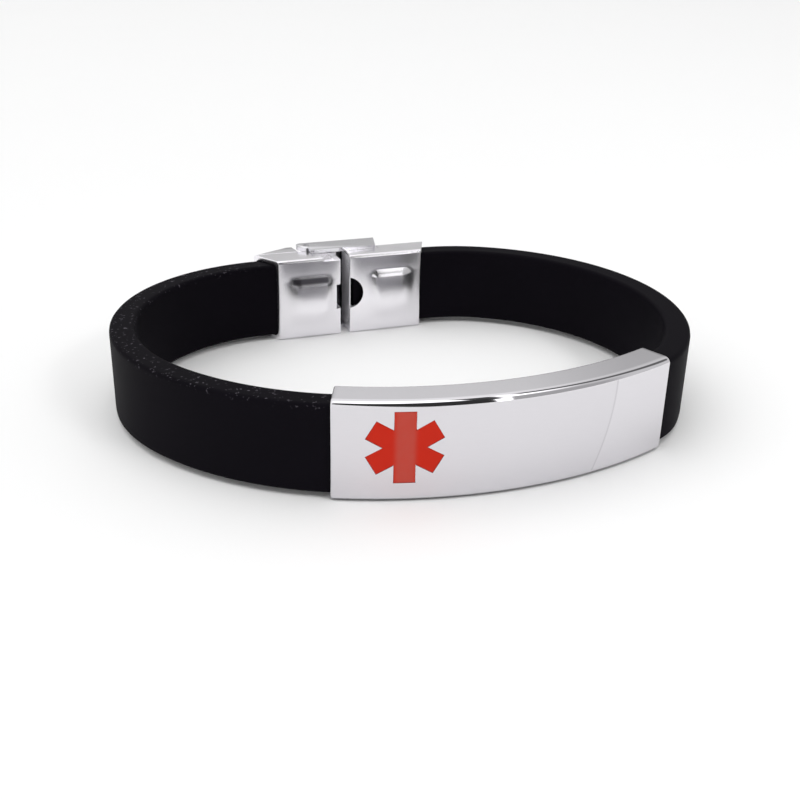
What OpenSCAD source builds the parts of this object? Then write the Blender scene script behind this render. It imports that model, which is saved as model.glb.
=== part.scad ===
/* [Strap] */
// Height of the strap, from its lower edge to its upper edge
strap_h = 12; // [10:0.5:14]
// Thickness of the strap
strap_t = 3.6; // [3:0.2:4.4]
// Rounding of the strap's four long edges
strap_edge_r = 0.5; // [0.2:0.1:0.8]

/* [Loop] */
// Distance from the strap's middle line at the plate to its middle line at the clasp
loop_depth = 58; // [55:0.5:66]
// How far the middle of the plate lies to the right of the middle of the clasp
plate_shift = 4.5; // [2:0.5:7]
// Turn of the bend just right of the plate, in degrees
right_shoulder_turn = 24; // [20:1:30]
// Turn of the bend just right of the clasp, in degrees
right_back_turn = 26; // [20:1:32]
// Radius of the bend just right of the clasp
right_back_r = 21; // [19:0.5:26]
// Turn of the bend just left of the plate, in degrees
left_shoulder_turn = 38; // [30:1:46]
// Turn of the bend just left of the clasp, in degrees
left_back_turn = 28; // [22:1:34]
// Radius of the bend just left of the clasp
left_back_r = 25; // [20:0.5:30]

/* [Plate] */
// Length of the plate along the strap
plate_len = 46; // [40:0.5:48]
// Radius that the plate is curved to, at the strap's middle line
plate_r = 58; // [50:1:66]
// Thickness of the plate's front and back walls
plate_wall = 0.5; // [0.4:0.05:0.8]
// How far the metal stands above and below the strap
rim_proud = 0.8; // [0.6:0.1:1.4]
// Rounding of the plate's front long edges
plate_edge_r = 0.9; // [0.6:0.1:1.2]
// Rounding of the plate's back long edges
plate_back_r = 0.4; // [0.2:0.1:0.6]
// Room between the strap and the metal round it
strap_gap = 0.1; // [0.05:0.05:0.2]

/* [Star] */
// Length of each of the star's three bars
star_len = 9.6; // [7:0.2:10.4]
// Width of each of the star's three bars
star_arm = 2.7; // [1.8:0.1:3]
// Distance along the plate from its left end to the middle of the star
star_inset = 8.7; // [8:0.1:13]
// Height of the star's middle above the plate's middle
star_rise = 0.7; // [0:0.1:0.8]
// Depth of the recess that the star lies in
star_depth = 0.2; // [0.1:0.05:0.25]
// How far the star stands proud of the plate
star_proud = 0.05; // [0:0.01:0.1]

/* [Clasp] */
// Length of the straight stretch of strap that the clasp covers
clasp_straight = 28; // [26:0.5:32]
// Thickness of the end caps' front and back walls
cap_wall = 0.5; // [0.4:0.05:0.7]
// Distance from the middle of the clasp to the mouth of an end cap's inner wall
cap_mouth = 12.8; // [12:0.2:13.6]
// How much further an end cap's outer wall runs over the strap
cap_overrun = 2; // [0.4:0.2:2.6]
// How much shorter the left cap's inner wall is
left_mouth_cut = 1; // [0:0.2:1.6]
// Width of the open joint between the two end caps
cap_joint = 1.6; // [1.2:0.2:3]
// How far that joint lies to the left of the middle of the clasp
cap_joint_shift = 0.5; // [0:0.1:1]
// Depth to which the strap goes in at its full size
full_seat = 1.8; // [1:0.2:3]
// How much lower the strap's end is cut at each edge inside a cap
tail_step_h = 1; // [0.8:0.1:1.4]
// How much thinner the strap's end is cut at each face inside a cap
tail_step_t = 0.4; // [0.35:0.05:0.6]
// Bulge of an inner wall at half its height
crown = 0.3; // [0.1:0.05:0.4]
// Width of the raised pad on an inner wall
pad_w = 7.2; // [5:0.2:8]
// Height of that pad
pad_h = 9.2; // [6:0.2:9.6]
// How far the middle of the pad lies below the middle of the cap
pad_drop = 0.4; // [0:0.1:1]
// How far the pad stands proud of the wall at its top
pad_rise = 0.4; // [0.2:0.05:0.5]
// How much further the pad swells towards its lower half
pad_swell = 0.3; // [0:0.05:0.4]
// Radius of the round notch in the right cap's inner wall
notch_r = 2.7; // [1.5:0.1:3]
// How far the middle of the notch lies outside the cap
notch_back = 0.5; // [0:0.1:1]
// How far the middle of the notch lies over the cap's middle
notch_lift = 0.4; // [0:0.1:0.8]
// Height of the small slot in the left cap's inner wall
slot_h = 4.2; // [2:0.2:5]
// Length of the recess in the left cap's upper edge beside the joint
recess_len = 3; // [2:0.2:3.6]
// Rounding of the clasp's long edges
clasp_edge_r = 0.6; // [0.3:0.1:0.65]

/* [Cover] */
// Distance from the middle of the clasp to the hinge pin
hinge_reach = 5.6; // [5:0.1:6.2]
// Length of the cover from the hinge pin to its free end
cover_len = 11.2; // [10:0.2:12]
// Turn of the cover from shut to fully open, in degrees
cover_turn = 100; // [80:5:110]
// Thickness of the cover's face and cheeks
cover_wall = 0.6; // [0.4:0.05:0.65]
// Room between the cover and what it closes over
cover_gap = 0.1; // [0.06:0.02:0.15]
// How far the cover's cheeks reach past the middle line towards the cap's outer face
cheek_floor = 0.5; // [0.4:0.1:1]
// Radius of the knuckle round the hinge pin
knuckle_r = 1; // [0.9:0.05:1.1]
// Radius of the hinge pin
pin_r = 0.45; // [0.3:0.05:0.5]
// Depth of the lip bent in at the cover's free end
lip_depth = 1.3; // [0.8:0.1:1.5]
// How far the cover's upper cheek stands above the caps
cover_proud = 0.6; // [0.2:0.1:0.8]
// How much further the cover runs at its outer face than at its cheeks' inner edges
cover_flare = 1.1; // [0:0.1:1.5]
// Length of the catch block that the lip closes behind
catch_len = 3.3; // [2:0.1:3.6]

/* [Hidden] */
$fn = 72;

// Heights
total_h = strap_h + 2 * rim_proud;
mid_z = total_h / 2;
cover_top = total_h + cover_proud;

// Half thicknesses, counted from the strap's middle line
strap_half = strap_t / 2;
channel_half = strap_half + strap_gap;
plate_half = channel_half + plate_wall;
cap_half = channel_half + cap_wall;

// Turns and radii of the loop, each side solved so that it meets the clasp
plate_turn = plate_len / 2 / plate_r * 180 / PI;
star_offset = plate_len / 2 - star_inset;
right_radii = open_radii(plate_shift, right_shoulder_turn, right_back_turn, right_back_r);
left_radii = open_radii(-plate_shift, left_shoulder_turn, left_back_turn, left_back_r);

// The clasp, counted from its middle on the strap's middle line
left_cap_end = -cap_joint_shift - cap_joint / 2;
right_cap_end = -cap_joint_shift + cap_joint / 2;
seat_x = cap_mouth - full_seat;
hinge_x = -hinge_reach;
hinge_y = cap_half + knuckle_r;
cover_in = hinge_y + knuckle_r + cover_gap;
cover_out = cover_in + cover_wall;
cover_end = hinge_x + cover_len;
cover_start = hinge_x - knuckle_r * 0.3;
cheek_r = hinge_r(cover_out - hinge_y, cover_start - hinge_x);
sweep_r = cheek_r + cover_gap;
cheek_room = cover_wall + cover_gap;
cover_swing = hinge_r(cover_len, hinge_y - cheek_floor);
pin_fit = 0.02;
pin_run = 0.05;
trim = 0.15;
past = 1;
lap = 0.3;
hair = 0.02;
corner_hole = 0.8;

// Where the middle of the whole piece lies, so that it can be moved to the origin
x_right = side_reach(plate_shift, right_shoulder_turn, right_radii) + strap_half;
x_left = side_reach(-plate_shift, left_shoulder_turn, left_radii) + strap_half;
mid_x = (x_right - x_left) / 2;
mid_y = (cover_out - plate_half) / 2;

// Distance of a corner from the hinge line
function hinge_r(along, across) = sqrt(along * along + across * across);

// Where the open cover's outer face stands along the clasp, at a height over the hinge line
function open_face(height) = height / tan(cover_turn) - (cover_out - hinge_y) / sin(cover_turn);

// Radii of the shoulder bend and the side bend that bring one side of the loop,
// begun sideways by start, to the end of the clasp's straight stretch
function open_radii(start, shoulder, back, back_r) =
    let (a = plate_turn, b = a + shoulder, c = 180 - back)
    let (x1 = sin(b) - sin(a), x2 = sin(c) - sin(b))
    let (y1 = cos(a) - cos(b), y2 = cos(b) - cos(c))
    let (x_left_over = clasp_straight / 2 - start - plate_r * sin(a) + back_r * sin(c))
    let (y_left_over = loop_depth - plate_r * (1 - cos(a)) - back_r * (1 + cos(c)))
    let (scale = x1 * y2 - x2 * y1)
    [(x_left_over * y2 - x2 * y_left_over) / scale, (x1 * y_left_over - y1 * x_left_over) / scale];

// Furthest reach sideways of one side of the loop, on the strap's middle line
function side_reach(start, shoulder, radii) =
    start + plate_r * sin(plate_turn)
    + radii[0] * (sin(plate_turn + shoulder) - sin(plate_turn))
    + radii[1] * (1 - sin(plate_turn + shoulder));

// Points of a rectangle from low to high, with a radius for each corner in turn:
// low x and low y, high x and low y, high x and high y, low x and high y
function rounded(low, high, r) =
    let (steps = 5)
    let (spots = [[low.x + r[0], low.y + r[0]], [high.x - r[1], low.y + r[1]],
                  [high.x - r[2], high.y - r[2]], [low.x + r[3], high.y - r[3]]])
    [for (k = [0 : 3], i = [0 : r[k] > 0 ? steps : 0])
        let (angle = 180 + 90 * k + (r[k] > 0 ? 90 * i / steps : 45))
        spots[k] + r[k] * [cos(angle), sin(angle)]];

// Moves the loop's own frame so that the whole piece stands centred on the origin
module in_place() {
    translate([-mid_x, -mid_y, 0]) children();
}

// Moves a shape of the clasp to the back of the loop
module at_clasp() {
    in_place() translate([0, loop_depth / 2, 0]) children();
}

// Section of the strap, across its thickness and up its height, grown by extra
module strap_section(extra = 0) {
    half = strap_half + extra;
    r = strap_edge_r + extra;
    polygon(rounded([-half, rim_proud - extra], [half, total_h - rim_proud + extra], [r, r, r, r]));
}

// One bend of the loop: the section is swept about centre, outwards being +x.
// It runs on by lap at each end, into its larger neighbours
module bend(centre, r, heading, turn, lap) {
    more = lap / r * 180 / PI;
    translate([centre.x, centre.y, 0])
        rotate_extrude(angle = turn + 2 * more, start = heading - 90 - more, $fn = 180)
            translate([r, 0]) children();
}

// The bends of one side of the loop, from the end of the plate to the clasp: the shoulder
// and the back lap into the side, the plate's stretch and the clasp's, which are a hair larger
module side_bends(start, shoulder, back, back_r, radii) {
    turns = [plate_turn, shoulder, 180 - plate_turn - shoulder - back, back];
    rs = [plate_r, radii[0], radii[1], back_r];
    for (k = [1 : 3])
        bend(bend_centre([start, -loop_depth / 2], rs, turns, k), rs[k], sum_of(turns, k - 1),
            turns[k], k == 2 ? 0 : lap)
            strap_section(k == 2 ? hair : 0);
}

// Sum of a list's items up to and with item k
function sum_of(list, k) = k == 0 ? list[0] : list[k] + sum_of(list, k - 1);

// Centre of bend k, each bend starting where the one before it ends
function bend_centre(point, rs, turns, k) =
    k == 0 ? point + [0, rs[0]]
    : let (heading = sum_of(turns, k - 1))
      bend_centre(point, rs, turns, k - 1)
      + (rs[k - 1] - rs[k]) * [sin(heading), -cos(heading)];

// Silicone strap: one band through the plate, its two ends cut down inside the caps
module strap() {
    color([0.07, 0.065, 0.075]) {
        in_place() {
            bend([plate_shift, plate_r - loop_depth / 2], plate_r, -plate_turn, 2 * plate_turn, 0)
                strap_section(hair);
            side_bends(plate_shift, right_shoulder_turn, right_back_turn, right_back_r, right_radii);
            mirror([1, 0, 0])
                side_bends(-plate_shift, left_shoulder_turn, left_back_turn, left_back_r, left_radii);
        }
        at_clasp() {
            for (side = [0, 1])
                mirror([side, 0, 0]) translate([seat_x, 0, 0]) rotate([90, 0, 90])
                    linear_extrude(clasp_straight / 2 - seat_x) strap_section(hair);
            strap_tail(-seat_x - lap, left_cap_end - cap_wall - cover_gap * 3);
            strap_tail(right_cap_end + cap_wall + cover_gap * 3, seat_x + lap);
        }
    }
}

// End of the strap inside a cap, from one place along the clasp to another
module strap_tail(from, to) {
    half = strap_half - tail_step_t;
    z = rim_proud + tail_step_h;
    translate([from, -half, z]) cube([to - from, 2 * half, total_h - 2 * z]);
}

// Curved steel plate: a flat tube round the strap, with a recess for the star
module id_plate() {
    color([0.86, 0.86, 0.88]) in_place() translate([plate_shift, plate_r - loop_depth / 2, 0])
        difference() {
            rotate_extrude(angle = 2 * plate_turn, start = -90 - plate_turn, $fn = 180)
                translate([plate_r, 0]) difference() {
                    polygon(rounded([-plate_half, 0], [plate_half, total_h],
                        [plate_back_r, plate_edge_r, plate_edge_r, plate_back_r]));
                    strap_section(strap_gap);
                }
            difference() {
                star_bars(0.04, plate_half - 2 * star_depth, plate_half + past);
                cylinder(h = total_h, r = plate_r + plate_half - star_depth, $fn = 180);
            }
        }
}

// The star's three bars, standing outwards between two distances from the strap's middle
module star_bars(extra, from, to) {
    rotate([0, 0, -star_offset / plate_r * 180 / PI])
        translate([0, -plate_r, mid_z + star_rise])
            for (k = [0 : 2])
                rotate([0, 60 * k, 0])
                    translate([-star_arm / 2 - extra, -to, -star_len / 2 - extra])
                        cube([star_arm + 2 * extra, to - from, star_len + 2 * extra]);
}

// Six-armed enamel star, lying in the plate's recess
module medical_star() {
    floor_gap = 0.02;
    color([0.75, 0.12, 0.05]) in_place() translate([plate_shift, plate_r - loop_depth / 2, 0])
        intersection() {
            star_bars(0, plate_half - 2 * star_depth, plate_half + past);
            difference() {
                cylinder(h = total_h, r = plate_r + plate_half + star_proud, $fn = 180);
                translate([0, 0, -past])
                    cylinder(h = total_h + 2 * past, r = plate_r + plate_half - star_depth + floor_gap,
                        $fn = 180);
            }
        }
}

// Keeps what lies inside the clasp's rounded long edges, out to the given distance
module rounded_long_edges(out) {
    intersection() {
        children();
        translate([-cap_mouth - 2 * cap_overrun, 0, 0]) rotate([90, 0, 90])
            linear_extrude(2 * cap_mouth + 4 * cap_overrun)
                polygon(rounded([-cap_half, 0], [out, total_h],
                    [clasp_edge_r, clasp_edge_r, clasp_edge_r, clasp_edge_r]));
    }
}

// Sleeve of an end cap seen from above: the inner wall is shorter than the outer one
module cap_plan(end, mouth) {
    polygon([[end + trim, -cap_half], [mouth - trim, -cap_half], [mouth, trim - cap_half],
             [cap_mouth + cap_overrun, cap_half - trim], [cap_mouth + cap_overrun - trim, cap_half],
             [end + trim, cap_half], [end, cap_half - trim], [end, trim - cap_half]]);
}

// Room for the strap in a cap whose mouth looks along +x: full size, then cut down
module cap_pocket(end) {
    tail_half = cap_half - cap_wall;
    tail_z = rim_proud + tail_step_h - strap_gap;
    translate([seat_x - strap_gap, 0, 0]) rotate([90, 0, 90])
        linear_extrude(cap_mouth + cap_overrun + past - seat_x) strap_section(strap_gap);
    translate([end, -tail_half, tail_z])
        cube([seat_x - end, 2 * tail_half, total_h - 2 * tail_z]);
}

// Side view of what stands proud of an inner wall between two heights: its bulge, and
// a pad that slopes up by rise under its top edge and by more towards its foot
module swell(low, high, rise, more) {
    steps = 14;
    polygon(concat([[trim - cap_half, high], [trim - cap_half, low]],
        [for (k = [0 : steps])
            let (z = low + (high - low) * k / steps, off = (z - mid_z) / (mid_z - clasp_edge_r))
            let (up = min(1, (z - low) / (high - low) / 0.35), down = min(1, (high - z) / 1.3))
            let (rest = 1 - min(1, max(0, high - z - 0.7) / (high - low) / 0.6))
            let (proud = (rise * down + more * (1 - rest * rest)) * up)
            [-cap_half - crown * (1 - off * off) - proud, z]]));
}

// Swollen face of an inner wall, from one place along the clasp to another
module swelling(from, to, low, high, rise, more) {
    translate([from, 0, 0]) rotate([90, 0, 90])
        linear_extrude(to - from) swell(low, high, rise, more);
}

// Shape of an end cap with its mouth along +x, without the parts for the cover
module cap_sleeve(end, mouth) {
    difference() {
        linear_extrude(total_h) cap_plan(end, mouth);
        cap_pocket(end + cap_wall);
    }
}

// Bulge and raised pad of an inner wall that ends at end and mouth, its pad about pad_x
module cap_face(end, mouth, pad_x) {
    low = mid_z - pad_drop - pad_h / 2;
    swelling(end + trim, mouth - trim, clasp_edge_r, total_h - clasp_edge_r, 0, 0);
    swelling(pad_x - pad_w / 2, pad_x + pad_w / 2, low, low + pad_h, pad_rise,
             pad_swell);
}

// Room for the cover's cheeks at the bottom and top edges, from one place to another
module cheek_cut(from, to) {
    for (z = [-past, cover_top - cheek_room])
        translate([from, cheek_floor - cover_gap, z])
            cube([to - from, cap_half + past, cheek_room + past]);
}

// Left end cap: sleeve, raised housing, and the knuckle that holds the hinge pin
module left_end_cap() {
    wedge_x = hinge_x - sweep_r;
    wedge_y = cover_out - cover_gap;
    wedge_top = min(wedge_x, hinge_x - cover_gap + open_face(wedge_y - hinge_y));
    mouth = cap_mouth - left_mouth_cut;
    color([0.75, 0.75, 0.78]) at_clasp()
        difference() {
            union() {
                rounded_long_edges(wedge_y) union() {
                    mirror([1, 0, 0]) cap_sleeve(-left_cap_end, mouth);
                    difference() {
                        linear_extrude(total_h)
                            polygon([[-cap_mouth - cap_overrun + trim, cap_half - trim],
                                     [wedge_top - knuckle_r, wedge_y], [wedge_top, wedge_y],
                                     [wedge_x, hinge_y], [hinge_x, cap_half], [hinge_x, cap_half - trim]]);
                        translate([hinge_x, hinge_y, -past])
                            cylinder(h = total_h + 2 * past, r = sweep_r);
                        translate([hinge_x - sweep_r * 0.75, cap_half, -past])
                            cube([2 * sweep_r, knuckle_r, total_h + 2 * past]);
                    }
                    translate([hinge_x, hinge_y, cheek_room])
                        cylinder(h = cover_top - 2 * cheek_room, r = knuckle_r);
                    translate([hinge_x - knuckle_r * 0.7, cap_half - trim, cheek_room])
                        cube([knuckle_r * 1.4, knuckle_r + trim, cover_top - 2 * cheek_room]);
                }
                mirror([1, 0, 0]) cap_face(-left_cap_end, mouth, (mouth - left_cap_end) / 2);
            }
            cheek_cut(hinge_x - cover_gap, 0);
            for (z = [-past, cover_top - cheek_room])
                translate([hinge_x, hinge_y, z]) cylinder(h = cheek_room + past, r = sweep_r);
            translate([hinge_x, hinge_y, 0]) cylinder(h = total_h + past, r = pin_r + pin_fit);
            translate([left_cap_end - cap_wall * 1.6, -cap_half - past, mid_z - slot_h / 2])
                cube([cap_wall * 1.6 + past, past + cap_wall, slot_h]);
            translate([left_cap_end - recess_len, -cap_half - past, total_h - cheek_room])
                cube([recess_len + past, cap_half + past + cheek_floor, cheek_room + past]);
        }
}

// Right end cap: sleeve with a round notch, and the catch block for the cover
module right_end_cap() {
    notch_end = right_cap_end + notch_r - notch_back;
    catch_end = flared(cover_in - lip_depth) - cover_wall - 4 * cover_gap;
    color([0.75, 0.75, 0.78]) at_clasp()
        difference() {
            union() {
                rounded_long_edges(cap_half) cap_sleeve(right_cap_end, cap_mouth);
                cap_face(right_cap_end, cap_mouth, (notch_end + cap_mouth) / 2);
                translate([catch_end - catch_len, cap_half - trim, mid_z / 3])
                    cube([catch_len, cover_in - 4 * cover_gap - cap_half + trim, mid_z * 4 / 3]);
            }
            cheek_cut(0, hinge_x + cover_swing + 3 * cover_gap);
            translate([right_cap_end - notch_back, cap_wall * 3 - cap_half, mid_z + notch_lift])
                rotate([90, 0, 0]) cylinder(h = cap_wall * 3 + past, r = notch_r);
            for (z = [corner_hole, total_h - 2 * corner_hole])
                translate([right_cap_end - past, cap_wall / 2 - cap_half, z])
                    cube([cap_wall + past, cap_wall * 3, corner_hole]);
        }
}

// Where the cover's end stands along the clasp, at a distance from the middle line
function flared(across) =
    cover_end + cover_flare * (across - cheek_floor) / (cover_out - cheek_floor);

// Fold-over cover: a face, a cheek at each edge and a lip at the free end
module clasp_cover() {
    lip_in = cover_in - lip_depth;
    color([0.8, 0.8, 0.82]) at_clasp()
        difference() {
            intersection() {
                union() {
                    translate([cover_start, cover_in, 0])
                        cube([flared(cover_out) - cover_start, cover_wall, cover_top]);
                    linear_extrude(cover_top)
                        polygon([[flared(lip_in) - cover_wall, lip_in], [flared(lip_in), lip_in],
                                 [flared(cover_out), cover_out], [flared(cover_out) - cover_wall, cover_out]]);
                    for (z = [0, cover_top - cover_wall]) {
                        translate([0, 0, z]) linear_extrude(cover_wall)
                            polygon([[hinge_x, cheek_floor], [cover_end, cheek_floor],
                                     [flared(cover_out), cover_out], [hinge_x, cover_out]]);
                        translate([hinge_x, hinge_y, z]) cylinder(h = cover_wall, r = cheek_r - 0.02);
                    }
                }
                translate([-cap_mouth, 0, 0]) rotate([90, 0, 90])
                    linear_extrude(2 * cap_mouth)
                        polygon(rounded([-past, 0], [cover_out, cover_top],
                            [0, clasp_edge_r, clasp_edge_r, 0]));
                linear_extrude(cover_top)
                    polygon([[hinge_x - 2 * cheek_r, cheek_floor], [cover_end, cheek_floor],
                             [flared(cover_out - trim), cover_out - trim], [flared(cover_out) - trim, cover_out],
                             [hinge_x - 2 * cheek_r, cover_out]]);
            }
            translate([hinge_x, hinge_y, -past]) cylinder(h = cover_top + 2 * past, r = pin_r + pin_run);
        }
}

// Hinge pin, through the cover's cheeks and the left cap's knuckle
module hinge_pin() {
    color([0.7, 0.7, 0.72]) at_clasp()
        translate([hinge_x, hinge_y, cover_gap]) cylinder(h = cover_top - 2 * cover_gap, r = pin_r);
}

strap();
id_plate();
medical_star();
left_end_cap();
right_end_cap();
clasp_cover();
hinge_pin();
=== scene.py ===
import math
from types import SimpleNamespace

import bmesh
import bpy
from bpy.props import FloatProperty, FloatVectorProperty, PointerProperty
from mathutils import Matrix, Vector


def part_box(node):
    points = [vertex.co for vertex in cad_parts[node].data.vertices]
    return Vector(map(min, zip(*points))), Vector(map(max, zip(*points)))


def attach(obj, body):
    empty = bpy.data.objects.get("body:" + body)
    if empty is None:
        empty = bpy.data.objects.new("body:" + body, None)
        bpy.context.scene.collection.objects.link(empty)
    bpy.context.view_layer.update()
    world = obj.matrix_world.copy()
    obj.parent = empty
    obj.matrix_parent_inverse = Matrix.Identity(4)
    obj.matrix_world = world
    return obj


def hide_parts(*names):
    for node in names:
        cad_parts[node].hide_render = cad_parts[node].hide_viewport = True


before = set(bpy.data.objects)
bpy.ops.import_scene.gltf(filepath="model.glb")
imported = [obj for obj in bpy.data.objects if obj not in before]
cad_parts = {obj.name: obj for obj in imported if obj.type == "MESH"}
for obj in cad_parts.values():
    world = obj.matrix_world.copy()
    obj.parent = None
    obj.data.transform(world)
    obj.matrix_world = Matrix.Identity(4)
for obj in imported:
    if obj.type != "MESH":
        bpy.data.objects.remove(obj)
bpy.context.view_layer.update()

bl_info = {
    "name": "Medical alert bracelet",
    "version": (1, 0, 0),
    "blender": (4, 5, 0),
    "location": "3D View > Sidebar > Bracelet",
    "description": "Silicone bracelet with a curved steel plate, a red star and a fold-over clasp",
    "category": "Add Mesh",
}

MM = 0.001
PI = math.pi
BODY = "bracelet"
COVER_BODY = "cover"

# Heights that the frame gives
STRAP_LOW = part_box("strap")[0].z
STRAP_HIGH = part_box("strap")[1].z
METAL_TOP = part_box("id_plate")[1].z
COVER_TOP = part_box("clasp_cover")[1].z

PAST = 1 * MM  # how far a cutting tool runs past what it cuts
SUNK = 0.15 * MM  # how deep a block that is joined to a cap sinks in its wall
SHARP = 35  # edges over this angle, in degrees, stay sharp


# Settings


def length(name, mm, about):
    """Property of a length, given in millimetres."""
    return FloatProperty(name=name, description=about, default=mm * MM, min=0, precision=5, unit="LENGTH")


def angle(name, degrees, about):
    """Property of an angle, given in degrees."""
    return FloatProperty(name=name, description=about, default=math.radians(degrees), unit="ROTATION")


def linear(text):
    """Linear colour of an sRGB hex value."""
    parts = [int(text[i:i + 2], 16) / 255 for i in (1, 3, 5)]
    return tuple(c / 12.92 if c <= 0.04045 else ((c + 0.055) / 1.055) ** 2.4 for c in parts)


def colour(name, text, about):
    """Property of a colour, given as an sRGB hex value."""
    return FloatVectorProperty(name=name, description=about, default=linear(text), size=3, min=0, max=1,
                               subtype="COLOR")


class StrapSettings(bpy.types.PropertyGroup):
    """Sizes and colour of the silicone strap and its loop."""

    thickness: length("Thickness", 3.6, "Thickness of the strap")
    edge: length("Edge rounding", 0.5, "Rounding of the strap's long edges")
    bead: length("Mould line", 0.05, "Height of the moulding line on the outer upper edge")
    depth: length("Loop depth", 58, "Distance between the strap's middle lines at plate and clasp")
    shift: length("Plate shift", 4.5, "How far the plate's middle lies right of the clasp's middle")
    right_shoulder: angle("Right shoulder", 24, "Turn of the bend right of the plate")
    right_back: angle("Right back", 26, "Turn of the bend right of the clasp")
    right_back_r: length("Right back radius", 21, "Radius of the bend right of the clasp")
    left_shoulder: angle("Left shoulder", 38, "Turn of the bend left of the plate")
    left_back: angle("Left back", 28, "Turn of the bend left of the clasp")
    left_back_r: length("Left back radius", 25, "Radius of the bend left of the clasp")
    colour: colour("Colour", "#0A080D", "Colour of the silicone")


class PlateSettings(bpy.types.PropertyGroup):
    """Sizes and colour of the curved steel plate."""

    length: length("Length", 46, "Length of the plate along the strap")
    radius: length("Radius", 58, "Radius of the plate at the strap's middle line")
    wall: length("Wall", 0.5, "Thickness of the front and back walls")
    edge: length("Front edge", 0.9, "Rounding of the front long edges")
    back_edge: length("Back edge", 0.4, "Rounding of the back long edges")
    rim: length("Rim", 0.22, "Rounding of the plate's two open ends")
    gap: length("Gap", 0.1, "Room between the strap and the metal round it")
    colour: colour("Colour", "#DDDBDF", "Colour of the polished steel")


class StarSettings(bpy.types.PropertyGroup):
    """Sizes and colours of the enamel star."""

    length: length("Bar length", 9.6, "Length of each bar of the star")
    arm: length("Bar width", 2.7, "Width of each bar of the star")
    inset: length("Inset", 8.7, "Distance from the plate's left end to the middle of the star")
    rise: length("Rise", 0.7, "Height of the star's middle over the plate's middle")
    depth: length("Depth", 0.18, "Depth of the enamel in the plate")
    proud: length("Proud", 0.05, "How far the enamel stands proud of the plate")
    edge: length("Edge", 0.12, "Rounding of the enamel's upper edge")
    colour: colour("Colour", "#C6230A", "Colour of the enamel")
    pale: colour("Pale colour", "#BC4E42", "Colour of the thinner enamel on the upright bar")


class ClaspSettings(bpy.types.PropertyGroup):
    """Sizes and colour of the two end caps."""

    straight: length("Straight stretch", 28, "Length of the straight stretch of strap under the clasp")
    wall: length("Wall", 0.5, "Thickness of the front and back walls")
    mouth: length("Mouth", 12.8, "Distance from the clasp's middle to the mouth of an inner wall")
    overrun: length("Overrun", 2, "How much further an outer wall runs over the strap")
    joint: length("Joint", 1.6, "Width of the open joint between the caps")
    joint_shift: length("Joint shift", 0.5, "How far the joint lies left of the clasp's middle")
    left_short: length("Left mouth", 1, "How much shorter the left cap's inner wall is")
    crown: length("Crown", 0.42, "Bulge of an inner wall at its middle")
    pad_w: length("Pad width", 8, "Width of the raised pad pressed in an inner wall")
    pad_h: length("Pad height", 9.2, "Height of the pad")
    pad_drop: length("Pad drop", 0.4, "How far the pad's middle lies under the cap's middle")
    pad_rise: length("Pad rise", 0.38, "Height of the step along the pad's top edge")
    pad_swell: length("Pad swell", 0.5, "How much further the pad swells towards its lower half")
    left_share: FloatProperty(name="Left share", default=0.9,
                              description="How high the left pad is for the right one's height")
    left_slope: length("Left slope", 1.8, "Height of the slope under the left pad's top")
    right_slope: length("Right slope", 1.2, "Height of the slope under the right pad's top")
    notch: length("Notch radius", 2.7, "Radius of the notch in the right cap")
    notch_back: length("Notch back", 0.5, "How far the notch's middle lies outside the cap")
    notch_lift: length("Notch lift", 0.4, "How far the notch's middle lies over the cap's middle")
    slot: length("Slot height", 4.2, "Height of the slot in the left cap")
    recess: length("Recess", 3, "Length of the recess in the left cap's upper edge beside the joint")
    corner: length("Corner hole", 1, "Height of the small holes at the corners of the joint")
    edge: length("Edge", 0.45, "Rounding of the long edges")
    rim: length("Rim", 0.1, "Rounding of the sheet's cut edges")
    colour: colour("Colour", "#F5F3F7", "Colour of the tumbled steel")


class CoverSettings(bpy.types.PropertyGroup):
    """Sizes and colour of the fold-over cover and its hinge."""

    hinge: length("Hinge", 5.6, "Distance from the clasp's middle to the hinge pin")
    length: length("Length", 11.2, "Length of the cover from the pin to its free end")
    wall: length("Wall", 0.6, "Thickness of the cover")
    gap: length("Gap", 0.1, "Room between the cover and what it closes over")
    cheek: length("Cheek floor", 0.5, "How near the cheeks come to the strap's middle line")
    knuckle: length("Knuckle radius", 1, "Radius of the knuckle round the pin")
    pin: length("Pin radius", 0.45, "Radius of the hinge pin")
    lip: length("Lip", 1.3, "Depth of the lip at the free end")
    catch: length("Catch", 3.3, "Length of the catch block under the lip")
    flare: length("Flare", 1.1, "How much further the cover runs at its outer face than at its inner edges")
    swing: angle("Swing", 100, "Turn of the cover from shut to fully open")
    edge: length("Edge", 0.12, "Rounding of the cover's short edges")
    colour: colour("Colour", "#EEEDF1", "Colour of the polished steel")


class StageSettings(bpy.types.PropertyGroup):
    """Camera, floor and light."""

    place: FloatVectorProperty(name="Camera", description="Place of the camera", size=3, unit="LENGTH",
                               default=(-52.369 * MM, -141.586 * MM, 68.845 * MM))
    azimuth: angle("Azimuth", -20.23, "Side that the camera looks from")
    elevation: angle("Elevation", 24.94, "Height that the camera looks from")
    roll: angle("Roll", 1.37, "Roll of the camera")
    lens: FloatProperty(name="Lens", description="Focal length in millimetres", default=49.64)
    floor: colour("Floor", "#FCFCFC", "Colour of the floor")
    key: FloatProperty(name="Key light", description="Power of the large soft light", default=1.0,
                       unit="POWER")
    strip: FloatProperty(name="Strip light", description="Power of the narrow light", default=0.35,
                         unit="POWER")
    sky: FloatProperty(name="Surroundings", description="Brightness of the room", default=1.33)


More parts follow.
